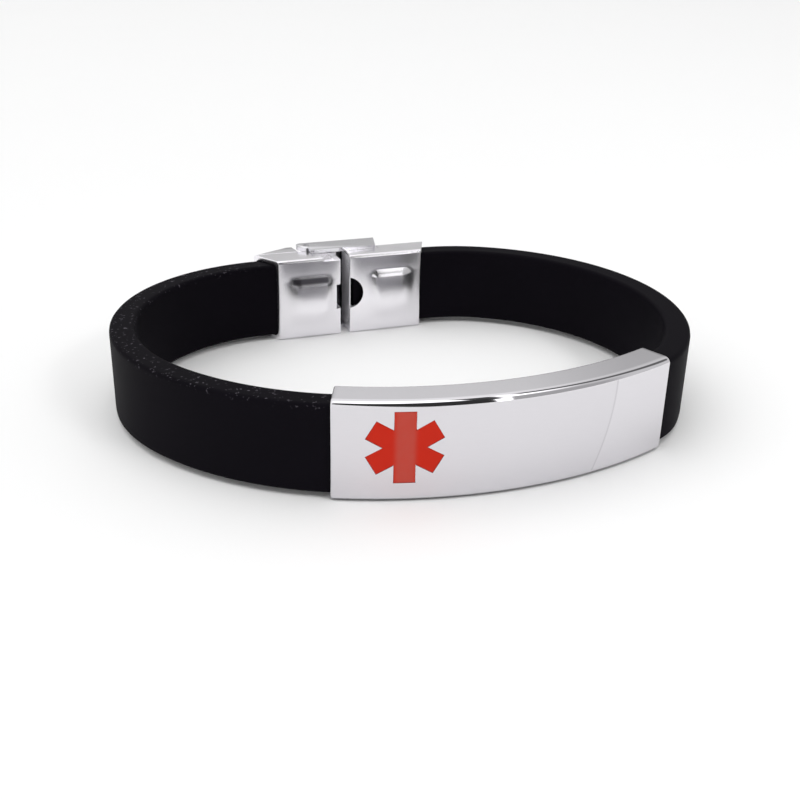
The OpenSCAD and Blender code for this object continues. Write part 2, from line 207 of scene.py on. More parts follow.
def measures(scene):
    """All sizes of the bracelet, in the loop's own frame: the strap's middle line is the zero of across."""
    strap, plate, clasp, cover = (scene.bracelet_strap, scene.bracelet_plate, scene.bracelet_clasp,
                                  scene.bracelet_cover)
    face_start = 0.3  # where the cover's face begins, in knuckle radii left of the pin
    off_row = 0.013 * MM  # keeps the cheeks' room off a row of the sleeve's points
    m = SimpleNamespace(strap=strap, plate=plate, star=scene.bracelet_star, clasp=clasp, cover=cover)
    m.half = strap.thickness / 2
    m.channel = m.half + plate.gap
    m.plate_half = m.channel + plate.wall
    m.cap_half = m.channel + clasp.wall
    m.mid_z = METAL_TOP / 2
    m.plate_turn = plate.length / 2 / plate.radius
    m.right = side_of_loop(m, strap.shift, strap.right_shoulder, strap.right_back, strap.right_back_r)
    m.left = side_of_loop(m, -strap.shift, strap.left_shoulder, strap.left_back, strap.left_back_r)
    m.left_end = -clasp.joint_shift - clasp.joint / 2
    m.right_end = -clasp.joint_shift + clasp.joint / 2
    m.left_mouth = clasp.mouth - clasp.left_short
    m.left_pad = (m.left_mouth - m.left_end) / 2
    m.pad_top = m.mid_z - clasp.pad_drop + clasp.pad_h / 2
    m.hinge_x = -cover.hinge
    m.hinge_y = m.cap_half + cover.knuckle
    m.hinge = (m.hinge_x, m.hinge_y)
    m.cover_in = m.hinge_y + cover.knuckle + cover.gap
    m.cover_out = m.cover_in + cover.wall
    m.cover_end = m.hinge_x + cover.length
    m.cover_start = m.hinge_x - cover.knuckle * face_start
    m.cheek_r = math.hypot(m.cover_out - m.hinge_y, m.cover_start - m.hinge_x)
    m.sweep_r = m.cheek_r + cover.gap
    m.cheek_room = cover.wall + cover.gap
    m.cheek_floor = cover.cheek - cover.gap + off_row
    m.reach = math.hypot(cover.length, m.hinge_y - cover.cheek)
    furthest = [max(p.x for p in side) + m.half for side in (m.right, m.left)]
    m.middle = Vector(((furthest[0] - furthest[1]) / 2, (m.cover_out - m.plate_half) / 2))
    m.plate_centre = Vector((strap.shift - m.middle.x, plate.radius - strap.depth / 2 - m.middle.y))
    return m


def side_of_loop(m, start, shoulder, back, back_r):
    """Points of the strap's middle line from the plate's middle to the clasp's straight stretch."""
    step = 0.6 * MM
    a, b, c = m.plate_turn, m.plate_turn + shoulder, PI - back
    x1, x2 = math.sin(b) - math.sin(a), math.sin(c) - math.sin(b)
    y1, y2 = math.cos(a) - math.cos(b), math.cos(b) - math.cos(c)
    x = m.clasp.straight / 2 - start - m.plate.radius * math.sin(a) + back_r * math.sin(c)
    y = m.strap.depth - m.plate.radius * (1 - math.cos(a)) - back_r * (1 + math.cos(c))
    scale = x1 * y2 - x2 * y1
    radii = [m.plate.radius, (x * y2 - x2 * y) / scale, (x1 * y - y1 * x) / scale, back_r]
    turns = [a, shoulder, c - b, back]
    points = [Vector((start, -m.strap.depth / 2))]
    heading = 0
    for radius, turn in zip(radii, turns):
        centre = points[-1] + radius * Vector((-math.sin(heading), math.cos(heading)))
        count = math.ceil(radius * turn / step)
        for k in range(1, count + 1):
            at = heading + turn * k / count
            points.append(centre + radius * Vector((math.sin(at), -math.cos(at))))
        heading += turn
    return points


# Meshes


def new_object(name, data):
    """Object of a mesh or curve, in the scene, at the origin."""
    made = bpy.data.objects.new(name, data)
    bpy.context.scene.collection.objects.link(made)
    return made


def finish_mesh(bm, name, sharp=SHARP):
    """Object of a closed bmesh: doubles merged, normals outwards, smooth up to the sharp angle."""
    bmesh.ops.remove_doubles(bm, verts=bm.verts, dist=0.0004 * MM)
    bmesh.ops.recalc_face_normals(bm, faces=bm.faces)
    mesh = bpy.data.meshes.new(name)
    bm.to_mesh(mesh)
    bm.free()
    smooth(mesh, sharp)
    return new_object(name, mesh)


def smooth(mesh, sharp):
    """Smooth shading, with the edges over the sharp angle kept."""
    mesh.shade_smooth()
    mesh.set_sharp_from_angle(angle=math.radians(sharp))


def skin(bm, rows, close=False):
    """Quads between rows of points, round and round if close."""
    made = [[bm.verts.new(p) for p in row] for row in rows]
    pairs = list(zip(made, made[1:])) + ([(made[-1], made[0])] if close else [])
    for one, two in pairs:
        count = len(one)
        for k in range(count if close else count - 1):
            bm.faces.new((one[k], one[(k + 1) % count], two[(k + 1) % count], two[k]))


def apply_modifiers(thing):
    """Replaces an object's mesh by what its modifiers make of it."""
    graph = bpy.context.evaluated_depsgraph_get()
    mesh = bpy.data.meshes.new_from_object(thing.evaluated_get(graph), depsgraph=graph)
    old = thing.data
    thing.modifiers.clear()
    thing.data = mesh
    bpy.data.meshes.remove(old)
    mesh.name = thing.name


def combine(thing, tool, operation):
    """Joins a closed tool to a closed thing, or cuts it out. The tool is used up. Points that a cut leaves
    close together are merged, and the fine gaps that it leaves are filled."""
    step = thing.modifiers.new("combine", "BOOLEAN")
    step.operation, step.solver, step.object = operation, "EXACT", tool
    apply_modifiers(thing)
    mesh = tool.data
    bpy.data.objects.remove(tool)
    bpy.data.meshes.remove(mesh)
    bm = bmesh.new()
    bm.from_mesh(thing.data)
    bmesh.ops.remove_doubles(bm, verts=bm.verts, dist=0.002 * MM)
    bmesh.ops.dissolve_degenerate(bm, edges=bm.edges, dist=0.001 * MM)
    bmesh.ops.holes_fill(bm, edges=[edge for edge in bm.edges if len(edge.link_faces) == 1], sides=0)
    bm.to_mesh(thing.data)
    bm.free()
    smooth(thing.data, SHARP)
    return thing


def bevel(thing, width, segments=2, limit=50):
    """Rounds the edges over the limit angle."""
    step = thing.modifiers.new("bevel", "BEVEL")
    step.width, step.segments, step.limit_method = width, segments, "ANGLE"
    step.angle_limit = math.radians(limit)
    apply_modifiers(thing)


def rounded_ring(low, high, radii, corner_steps, across_points, up_points):
    """Points round a rectangle with a radius at each corner, from its low corner, anticlockwise."""
    support = 0.04 * MM  # how near a flat side's outermost points stand to its roundings
    middles = [Vector((low[0] + radii[0], low[1] + radii[0])),
               Vector((high[0] - radii[1], low[1] + radii[1])),
               Vector((high[0] - radii[2], high[1] - radii[2])),
               Vector((low[0] + radii[3], high[1] - radii[3]))]
    arcs = [[middle + radius * Vector((math.cos(a), math.sin(a)))
             for a in (PI + PI / 2 * (k + i / corner_steps) for i in range(corner_steps + 1))]
            for k, (middle, radius) in enumerate(zip(middles, radii))]
    points = []
    for k, corner in enumerate(arcs):
        points += corner
        one, two = corner[-1], arcs[(k + 1) % 4][0]
        share = support / (two - one).length
        inner = across_points if k % 2 == 0 else up_points
        for i in range(inner):
            points.append(one.lerp(two, share + (1 - 2 * share) * i / (inner - 1)))
    return points


def channel_ring(m, counts):
    """Points round the room for the strap inside the plate or a cap."""
    gap = m.plate.gap
    return rounded_ring((-m.channel, STRAP_LOW - gap), (m.channel, STRAP_HIGH + gap),
                        (m.strap.edge + gap,) * 4, **counts)


def tube(name, outer, inner, place, start, end, stations, rim, press=lambda along, across, up: 0):
    """Closed sleeve between an outer and an inner ring, from start to end, its four cut edges rounded by rim.
    start and end give the sleeve's ends at an (across, up) point; press moves a point across."""
    rim_steps = 3
    quarter = [PI / 2 * q / rim_steps for q in range(1, rim_steps + 1)]
    shares = [k / (stations - 1) for k in range(stations)]
    rows = []
    for out, into in zip(outer, inner):
        wall = (out - into).length
        turn_in = [(1 - math.sin(a), (1 - math.cos(a)) * rim / wall) for a in quarter]
        chain = [("wall", f, 0) for f in shares]
        chain += [("end", f, t) for f, t in turn_in] + [("end", f, 1 - t) for f, t in reversed(turn_in)]
        chain += [("wall", f, 1) for f in reversed(shares)]
        chain += [("start", f, 1 - t) for f, t in turn_in] + [("start", f, t) for f, t in reversed(turn_in)]
        row = []
        for kind, f, t in chain:
            point = out.lerp(into, t)
            low, high = start(point), end(point)
            along = {"wall": low + rim + f * (high - low - 2 * rim), "end": high - rim * f,
                     "start": low + rim * f}[kind]
            row.append(place(along, point.x + press(along, point.x, point.y), point.y))
        rows.append(row)
    bm = bmesh.new()
    skin(bm, rows, close=True)
    return finish_mesh(bm, name)


def prism(name, points, low, high, place):
    """Closed upright prism of a plan's (along, across) points between two heights."""
    bm = bmesh.new()
    bottom, top = [[bm.verts.new(place(p[0], p[1], z)) for p in points] for z in (low, high)]
    for k in range(len(points)):
        after = (k + 1) % len(points)
        bm.faces.new((bottom[k], bottom[after], top[after], top[k]))
    bm.faces.new(bottom[::-1])
    bm.faces.new(top)
    return finish_mesh(bm, name)


def rectangle(along, across):
    """Plan of a box between two values each way."""
    return [(along[0], across[0]), (along[1], across[0]), (along[1], across[1]), (along[0], across[1])]


def block(name, along, across, up, place):
    """Closed box between two values each way."""
    return prism(name, rectangle(along, across), up[0], up[1], place)


def arc(middle, radius, start, turn, count):
    """Points of an arc in count steps, with both its ends."""
    return [(middle[0] + radius * math.cos(at), middle[1] + radius * math.sin(at))
            for at in (start + turn * k / count for k in range(count + 1))]


def circle(middle, radius, count=48):
    """Points round a circle."""
    return arc(middle, radius, 0, 2 * PI, count)[:-1]


def on_clasp(m, side=1):
    """Place of a point of the clasp: along it to the given side, outwards, and up."""
    return lambda along, across, up: Vector((side * along - m.middle.x,
                                             m.strap.depth / 2 + across - m.middle.y, up))


def on_plate(m):
    """Place of a point of the plate: along its middle line, outwards, and up."""
    def place(along, across, up):
        at, radius = along / m.plate.radius, m.plate.radius + across
        return Vector((m.plate_centre.x + radius * math.sin(at),
                       m.plate_centre.y - radius * math.cos(at), up))

    return place


def finished(thing, body, node, material):
    """Gives a piece its material in its one slot and its body, and hides the node that it stands for."""
    thing.data.materials.clear()
    thing.data.materials.append(material)
    thing.data.polygons.foreach_set("material_index", [0] * len(thing.data.polygons))
    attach(thing, body)
    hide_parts(node)


def hump(x):
    """Round rise from 0 at -1 to 1 at 0 and back to 0 at 1."""
    return max(0, 1 - x * x)


def fade(x):
    """Smooth step from 0 at 0 to 1 at 1."""
    x = min(max(x, 0), 1)
    return x * x * (3 - 2 * x)


# Nodes


def add(tree, kind, sockets=None, **settings):
    """Adds a node with its settings. sockets gives, by input name, a value, another node's output, or another
    node, which stands for its first output in use."""
    made = tree.nodes.new(kind)
    for key, value in settings.items():
        setattr(made, key, value)
    for key, value in (sockets or {}).items():
        if isinstance(value, bpy.types.Node):
            value = next(output for output in value.outputs if output.enabled)
        if isinstance(value, bpy.types.NodeSocket):
            tree.links.new(value, made.inputs[key])
        else:
            made.inputs[key].default_value = value
    return made


def overlap(tree, *ramps, kind="LINEAR"):
    """Product of ramps, such as the share that a finish or a patch has at a place. Each is a value, where it
    starts and ends, and its result at both, if these aren't 0 and 1."""
    share = 1.0
    for value, start, end, *results in ramps:
        low, high = results or (0.0, 1.0)
        ramp = add(tree, "ShaderNodeMapRange", {"Value": value, "From Min": start, "From Max": end,
                                                "To Min": low, "To Max": high}, interpolation_type=kind)
        share = add(tree, "ShaderNodeMath", {0: share, 1: ramp}, operation="MULTIPLY")
    return share


def rgba(paint, share=1):
    """Colour for a socket, darkened or lightened by a share."""
    return (*[c * share for c in paint], 1)


def per_mm(size):
    """Scale of a pattern whose features are size millimetres apart."""
    return 1 / (size * MM)


def new_material(name):
    """Empty material with its tree and the object's own coordinates."""
    material = bpy.data.materials.new(name)
    material.use_nodes = True
    tree = material.node_tree
    tree.nodes.clear()
    return material, tree, add(tree, "ShaderNodeTexCoord").outputs["Object"]


# Materials


def matte_silicone(paint):
    """Moulded silicone: nearly black and matt, with a fine moulded grain, faint cloudiness and pale dust
    caught on its upper edge where it is handled."""
    material, tree, where = new_material("matte_moulded_silicone")
    cloud = add(tree, "ShaderNodeTexNoise", {"Vector": where, "Scale": per_mm(9), "Detail": 3.0})
    grain = add(tree, "ShaderNodeTexNoise", {"Vector": where, "Scale": per_mm(0.28), "Detail": 2.0})
    tone = add(tree, "ShaderNodeMix", {"Factor": cloud, "A": rgba(paint), "B": rgba(paint, 1.7)},
               data_type="RGBA")
    # dust: specks about 0.45 mm apart, kept to the upper edge left of the plate
    specks = add(tree, "ShaderNodeTexNoise", {"Vector": where, "Scale": per_mm(0.45), "Detail": 1.0})
    x, _, z = add(tree, "ShaderNodeSeparateXYZ", {"Vector": where}).outputs
    dust = overlap(tree, (specks.outputs["Fac"], 0.64, 0.78, 0.0, 0.35), (x, -12 * MM, -20 * MM),
                   (z, STRAP_HIGH - 0.9 * MM, STRAP_HIGH - 0.15 * MM))
    shown = add(tree, "ShaderNodeMix", {"Factor": dust, "A": tone, "B": rgba(linear("#8D8892"))},
                data_type="RGBA")
    rough = add(tree, "ShaderNodeMapRange", {"Value": cloud, "To Min": 0.55, "To Max": 0.68})
    bump = add(tree, "ShaderNodeBump", {"Height": grain, "Strength": 0.35, "Distance": 0.03 * MM})
    shader = add(tree, "ShaderNodeBsdfPrincipled", {"Base Color": shown, "Roughness": rough, "IOR": 1.41,
                                                    "Specular IOR Level": 0.05, "Normal": bump})
    add(tree, "ShaderNodeOutputMaterial", {"Surface": shader})
    return material


def steel(name, paint, rough, wave, scratch):
    """Stainless steel: a bright grey metal with faint long waves left by polishing, and hairlines along it.
    Both are given by their height in millimetres, the roughness by its least and its most."""
    material, tree, where = new_material(name)
    waves = add(tree, "ShaderNodeTexNoise", {"Vector": where, "Scale": per_mm(7), "Detail": 1.0})
    # hairlines: about 0.12 mm apart across, stretched twelve times along the piece, coarse enough to show
    stretched = add(tree, "ShaderNodeMapping", {"Vector": where, "Scale": (0.08, 0.08, 1.0)})
    lines = add(tree, "ShaderNodeTexNoise", {"Vector": stretched, "Scale": per_mm(0.12), "Detail": 3.0})
    cloud = add(tree, "ShaderNodeTexNoise", {"Vector": where, "Scale": per_mm(3), "Detail": 3.0})
    rough_here = add(tree, "ShaderNodeMapRange", {"Value": cloud, "From Min": 0.3, "From Max": 0.7,
                                                  "To Min": rough[0], "To Max": rough[1]})
    tone = add(tree, "ShaderNodeMix", {"Factor": lines, "A": rgba(paint, 0.97), "B": rgba(paint)},
               data_type="RGBA")
    long_bump = add(tree, "ShaderNodeBump", {"Height": waves, "Strength": 1.0, "Distance": wave * MM})
    bump = add(tree, "ShaderNodeBump", {"Height": lines, "Strength": 1.0, "Distance": scratch * MM,
                                        "Normal": long_bump})
    shader = add(tree, "ShaderNodeBsdfPrincipled", {"Base Color": tone, "Metallic": 1.0,
                                                    "Roughness": rough_here, "Normal": bump})
    add(tree, "ShaderNodeOutputMaterial", {"Surface": shader})
    return material


def second_finish(tree, share, paint, rough):
    """Gives a steel a second colour and roughness, where share is 1."""
    shader = next(node for node in tree.nodes if node.type == "BSDF_PRINCIPLED")
    for kind, name, value in (("RGBA", "Base Color", rgba(paint)), ("FLOAT", "Roughness", rough)):
        first = shader.inputs[name].links[0].from_socket
        mixed = add(tree, "ShaderNodeMix", {"Factor": share, "A": first, "B": value}, data_type=kind)
        tree.links.new(mixed.outputs["Result"], shader.inputs[name])


def clasp_steel(m):
    """The caps' steel: tumbled after pressing, so that it shines softly, left rough where it was sheared at
    the joint, with painted shade darkening the crease over the left pad."""
    name = "tumbled_stainless_steel"
    if name in bpy.data.materials:
        return bpy.data.materials[name]
    material = steel(name, m.clasp.colour, rough=(0.2, 0.25), wave=0.002, scratch=0.0004)
    tree = material.node_tree
    where = add(tree, "ShaderNodeTexCoord").outputs["Object"]
    x, y, z = add(tree, "ShaderNodeSeparateXYZ", {"Vector": where}).outputs
    middle = (m.left_end + m.right_end) / 2 - m.middle.x
    reach = (m.right_end - m.left_end) / 2 + 2 * m.clasp.wall
    front = m.strap.depth / 2 - m.cap_half - m.middle.y + 0.2 * MM
    # sheared edges: what lies near the joint, behind the front and under the top
    off = add(tree, "ShaderNodeMath", {0: x, 1: middle}, operation="SUBTRACT")
    away = add(tree, "ShaderNodeMath", {0: off}, operation="ABSOLUTE")
    near = add(tree, "ShaderNodeMath", {0: away, 1: reach}, operation="LESS_THAN")
    deep = add(tree, "ShaderNodeMath", {0: y, 1: front}, operation="GREATER_THAN")
    under = add(tree, "ShaderNodeMath", {0: z, 1: METAL_TOP - 0.2 * MM}, operation="LESS_THAN")
    inside = add(tree, "ShaderNodeMath", {0: near, 1: deep}, operation="MULTIPLY")
    sheared = add(tree, "ShaderNodeMath", {0: inside, 1: under}, operation="MULTIPLY")
    second_finish(tree, sheared, linear("#F4F3F6"), rough=0.65)
    # painted shade in the left pad's crease: whole as far as the first distance from the crease's middle,
    # gone at the second
    crease = m.pad_top - m.clasp.left_slope * 0.55
    crease_shade_spans = []
    for value, centre, whole, gone in ((z, crease, 0.2 * MM, 1.1 * MM),
                                       (x, -m.left_pad - m.middle.x, 2.7 * MM, 3.9 * MM)):
        off = add(tree, "ShaderNodeMath", {0: value, 1: centre}, operation="SUBTRACT")
        away = add(tree, "ShaderNodeMath", {0: off}, operation="ABSOLUTE")
        crease_shade_spans.append((away, whole, gone, 1.0, 0.0))
    outside = add(tree, "ShaderNodeMath", {0: y, 1: front}, operation="LESS_THAN")
    dark = add(tree, "ShaderNodeMath", {0: overlap(tree, *crease_shade_spans, kind="SMOOTHSTEP"), 1: outside},
               operation="MULTIPLY")
    # painted shade: a dark grey colour standing in for the crease's shade
    second_finish(tree, dark, linear("#57555B"), rough=0.3)
    return material


def plate_steel(m):
    """The plate's steel: mirror polished in front, with a painted reflection on most of it that ends in a
    faint line, dull as rolled on its back, which lies against the wrist, and painted shade along its lower
    front edge."""
    material = steel("mirror_polished_stainless_steel", m.plate.colour, rough=(0.03, 0.07), wave=0.004,
                     scratch=0.0003)
    tree = material.node_tree
    where = add(tree, "ShaderNodeTexCoord").outputs["Object"]
    x, _, z = add(tree, "ShaderNodeSeparateXYZ", {"Vector": where}).outputs
    flat = add(tree, "ShaderNodeVectorMath", {0: where, 1: (1, 1, 0)}, operation="MULTIPLY")
    away = add(tree, "ShaderNodeVectorMath", {0: flat, 1: (*m.plate_centre, 0)}, operation="DISTANCE")
    back = add(tree, "ShaderNodeMath", {0: away, 1: m.plate.radius - m.plate_half + 0.1 * MM},
               operation="LESS_THAN")
    second_finish(tree, back, linear("#96959B"), rough=0.3)
    # the painted reflection's edge: a line that leans and bends, found from its depth under its top
    under_top = add(tree, "ShaderNodeMath", {0: METAL_TOP - 0.6 * MM, 1: z}, operation="SUBTRACT")
    bent = add(tree, "ShaderNodeMath", {0: under_top, 1: under_top}, operation="MULTIPLY")
    line = add(tree, "ShaderNodeMath", {0: bent, 1: -0.019 / MM, 2: m.plate_centre.x + 13.7 * MM},
               operation="MULTIPLY_ADD")
    off = add(tree, "ShaderNodeMath", {0: x, 1: line}, operation="SUBTRACT")
    width = add(tree, "ShaderNodeMath", {0: off}, operation="ABSOLUTE")
    seen = add(tree, "ShaderNodeMapRange", {"Value": width, "From Min": 0.03 * MM, "From Max": 0.22 * MM,
                                            "To Min": 0.3, "To Max": 0.0})
    painted_reflection_tint = add(tree, "ShaderNodeMapRange", {"Value": off, "From Min": -0.1 * MM, "From Max": 0.1 * MM,
                                            "To Min": 0.05, "To Max": 0.0})
    share = add(tree, "ShaderNodeMath", {0: seen, 1: painted_reflection_tint}, operation="MAXIMUM")
    front = add(tree, "ShaderNodeMath", {0: away, 1: m.plate.radius + m.plate_half - 0.02 * MM},
                operation="GREATER_THAN")
    shown = add(tree, "ShaderNodeMath", {0: share, 1: front}, operation="MULTIPLY")
    # painted reflection: a darker, pinkish tint on the front, with its edge line
    second_finish(tree, shown, linear("#8F8A91"), rough=0.09)
    # painted shade along the lower front edge, where the plate stands on the floor
    low = add(tree, "ShaderNodeMapRange", {"Value": z, "From Min": 0.2 * MM, "From Max": 0.5 * MM,
                                           "To Min": 0.8, "To Max": 0.0})
    outer = add(tree, "ShaderNodeMath", {0: away, 1: m.plate.radius + m.strap.thickness / 4},
                operation="GREATER_THAN")
    painted_edge_shade = add(tree, "ShaderNodeMath", {0: low, 1: outer}, operation="MULTIPLY")
    second_finish(tree, painted_edge_shade, linear("#454449"), rough=0.3)
    return material


def fired_enamel(paint, pale, middle_x, arm):
    """Fired enamel: deep red glass over steel, a little paler where the upright bar lies thinner."""
    material, tree, where = new_material("fired_red_enamel")
    side = add(tree, "ShaderNodeSeparateXYZ", {"Vector": where}).outputs["X"]
    off = add(tree, "ShaderNodeMath", {0: side, 1: middle_x}, operation="SUBTRACT")
    away = add(tree, "ShaderNodeMath", {0: off}, operation="ABSOLUTE")
    upright = add(tree, "ShaderNodeMapRange", {"Value": away, "From Min": arm * 0.28, "From Max": arm * 0.62,
                                               "To Min": 0.8, "To Max": 0.0}, interpolation_type="SMOOTHSTEP")
    cloud = add(tree, "ShaderNodeTexNoise", {"Vector": where, "Scale": per_mm(1.1), "Detail": 3.0})
    mottled = add(tree, "ShaderNodeMapRange", {"Value": cloud, "To Min": 0.75, "To Max": 1.1})
    share = add(tree, "ShaderNodeMath", {0: upright, 1: mottled}, operation="MULTIPLY", use_clamp=True)
    tone = add(tree, "ShaderNodeMix", {"Factor": share, "A": rgba(paint), "B": rgba(pale)}, data_type="RGBA")
    bump = add(tree, "ShaderNodeBump", {"Height": cloud, "Strength": 0.5, "Distance": 0.01 * MM})
    shader = add(tree, "ShaderNodeBsdfPrincipled", {"Base Color": tone, "Roughness": 0.35, "IOR": 1.5,
                                                    "Specular IOR Level": 0.15, "Normal": bump})
    add(tree, "ShaderNodeOutputMaterial", {"Surface": shader})
    return material


# The pieces


def strap_tree():
    """Geometry Nodes tree that sweeps the strap's section along a curve."""
    tree = bpy.data.node_groups.new("strap_sweep", "GeometryNodeTree")
    face = tree.interface
    face.new_socket("Geometry", in_out="INPUT", socket_type="NodeSocketGeometry")
    for name in ("Thickness", "Height", "Edge", "Bead"):
        face.new_socket(name, in_out="INPUT", socket_type="NodeSocketFloat")
    face.new_socket("Material", in_out="INPUT", socket_type="NodeSocketMaterial")
    face.new_socket("Geometry", in_out="OUTPUT", socket_type="NodeSocketGeometry")
    given = add(tree, "NodeGroupInput").outputs
    level = add(tree, "GeometryNodeSetCurveNormal", {"Curve": given["Geometry"]}, mode="Z_UP")
    box = add(tree, "GeometryNodeCurvePrimitiveQuadrilateral", {"Width": given["Thickness"],
                                                               "Height": given["Height"]})
    soft = add(tree, "GeometryNodeFilletCurve", {"Curve": box, "Radius": given["Edge"], "Count": 6},
               mode="POLY")
    even = add(tree, "GeometryNodeResampleCurve", {"Curve": soft, "Count": 116})
    # the moulding line: a fine bead along the corner where the outer face meets the upper edge
    at = add(tree, "GeometryNodeInputPosition")
    half_w = add(tree, "ShaderNodeMath", {0: given["Thickness"], 1: 0.5}, operation="MULTIPLY")
    half_h = add(tree, "ShaderNodeMath", {0: given["Height"], 1: 0.5}, operation="MULTIPLY")
    corner = add(tree, "ShaderNodeCombineXYZ", {"X": half_w, "Y": half_h})
    away = add(tree, "ShaderNodeVectorMath", {0: at, 1: corner}, operation="DISTANCE")
    near = add(tree, "ShaderNodeMapRange", {"Value": away, "From Min": 0.2 * MM, "From Max": 0.5 * MM,
                                            "To Min": 1.0, "To Max": 0.0}, interpolation_type="SMOOTHSTEP")
    lift = add(tree, "ShaderNodeMath", {0: near, 1: given["Bead"]}, operation="MULTIPLY")
    out_way = add(tree, "ShaderNodeVectorMath", {0: (0.7, 0.7, 0), "Scale": lift}, operation="SCALE")
    beaded = add(tree, "GeometryNodeSetPosition", {"Geometry": even, "Offset": out_way})
    swept = add(tree, "GeometryNodeCurveToMesh", {"Curve": level, "Profile Curve": beaded, "Fill Caps": True})
    smoothed = add(tree, "GeometryNodeSetShadeSmooth", {"Geometry": swept})
    real = add(tree, "GeometryNodeRealizeInstances", {"Geometry": smoothed})
    painted = add(tree, "GeometryNodeSetMaterial", {"Geometry": real, "Material": given["Material"]})
    add(tree, "NodeGroupOutput", {"Geometry": painted})
    return tree


class BRACELET_OT_strap(bpy.types.Operator):
    """Sweeps the silicone strap along the loop."""

    bl_idname = "bracelet.strap"
    bl_label = "Strap"

    def execute(self, context):
        m = measures(context.scene)
        clear = 0.3 * MM  # how far the strap stops short of each cap's end wall
        back = m.strap.depth / 2
        halves = []
        for points, end in ((m.right, m.right_end), (m.left, -m.left_end)):
            halves.append([(p.x, p.y) for p in points] + [(end + m.clasp.wall + clear, back)])
        right, left = halves
        line = [(-x, y) for x, y in reversed(left[1:])] + right
        curve = bpy.data.curves.new("strap_line", "CURVE")
        curve.dimensions = "3D"
        spline = curve.splines.new("POLY")
        spline.points.add(len(line) - 1)
        for point, (x, y) in zip(spline.points, line):
            point.co = (x - m.middle.x, y - m.middle.y, (STRAP_LOW + STRAP_HIGH) / 2, 1)
        made = new_object("strap_silicone", curve)
        material = matte_silicone(m.strap.colour)
        sweep = made.modifiers.new("sweep", "NODES")
        sweep.node_group = strap_tree()
        values = {"Thickness": m.strap.thickness, "Height": STRAP_HIGH - STRAP_LOW, "Edge": m.strap.edge,
                  "Bead": m.strap.bead, "Material": material}
        for item in sweep.node_group.interface.items_tree:
            if item.in_out == "INPUT" and item.name in values:
                sweep[item.identifier] = values[item.name]
        graph = bpy.context.evaluated_depsgraph_get()
        mesh = bpy.data.meshes.new_from_object(made.evaluated_get(graph), depsgraph=graph)
        if len(mesh.polygons) == 0:
            raise RuntimeError("the strap's sweep made no faces")
        bpy.data.objects.remove(made)
        bpy.data.curves.remove(curve)
        finished(new_object("strap_silicone", mesh), BODY, "strap", material)
        return {"FINISHED"}


class BRACELET_OT_plate(bpy.types.Operator):
    """Builds the curved plate as a flat tube round the strap, with the star's recess."""

    bl_idname = "bracelet.plate"
    bl_label = "Plate"

    def execute(self, context):
        m = measures(context.scene)
        back, front, half = m.plate.back_edge, m.plate.edge, m.plate.length / 2
        radii = (back, front, front, back)
        counts = {"corner_steps": 10, "across_points": 8, "up_points": 24}
        outer = rounded_ring((-m.plate_half, 0), (m.plate_half, METAL_TOP), radii, **counts)
        made = tube("plate_polished", outer, channel_ring(m, counts), on_plate(m), lambda p: -half,
                    lambda p: half, stations=110, rim=m.plate.rim)
        recess = star_shell("recess", m, extra=0.04 * MM, low=-m.star.depth - 0.02 * MM, high=0.6 * MM,
                            edge=0)
        combine(made, recess, "DIFFERENCE")
        radial_normals(made, m)
        finished(made, BODY, "id_plate", plate_steel(m))
        return {"FINISHED"}


def radial_normals(thing, m):
    """Sets the exact normals on the plate's curved front, so that the cut recess doesn't bend reflections."""
    near, facing = 0.004 * MM, 0.97
    mesh = thing.data
    radius = m.plate.radius + m.plate_half
    normals = [tuple(n.vector) for n in mesh.corner_normals]
    for face in mesh.polygons:
        for loop in face.loop_indices:
            at = mesh.vertices[mesh.loops[loop].vertex_index].co
            way = Vector((at.x - m.plate_centre.x, at.y - m.plate_centre.y, 0))
            outwards = way.normalized()
            if abs(way.length - radius) < near and face.normal.dot(outwards) > facing:
                normals[loop] = tuple(outwards)
    mesh.normals_split_custom_set(normals)


def star_outline(length, arm, per_edge):
    """Outline of three crossed bars, per_edge points on each edge, anticlockwise."""
    corners = []
    for k in range(6):
        a = PI / 2 + PI / 3 * k
        way, aside = Vector((math.cos(a), math.sin(a))), Vector((math.sin(a), -math.cos(a)))
        corners += [arm * Vector((math.cos(a - PI / 6), math.sin(a - PI / 6))),
                    way * length / 2 + aside * arm / 2, way * length / 2 - aside * arm / 2]
    return [one.lerp(two, i / per_edge) for one, two in zip(corners, corners[1:] + corners[:1])
            for i in range(per_edge)]


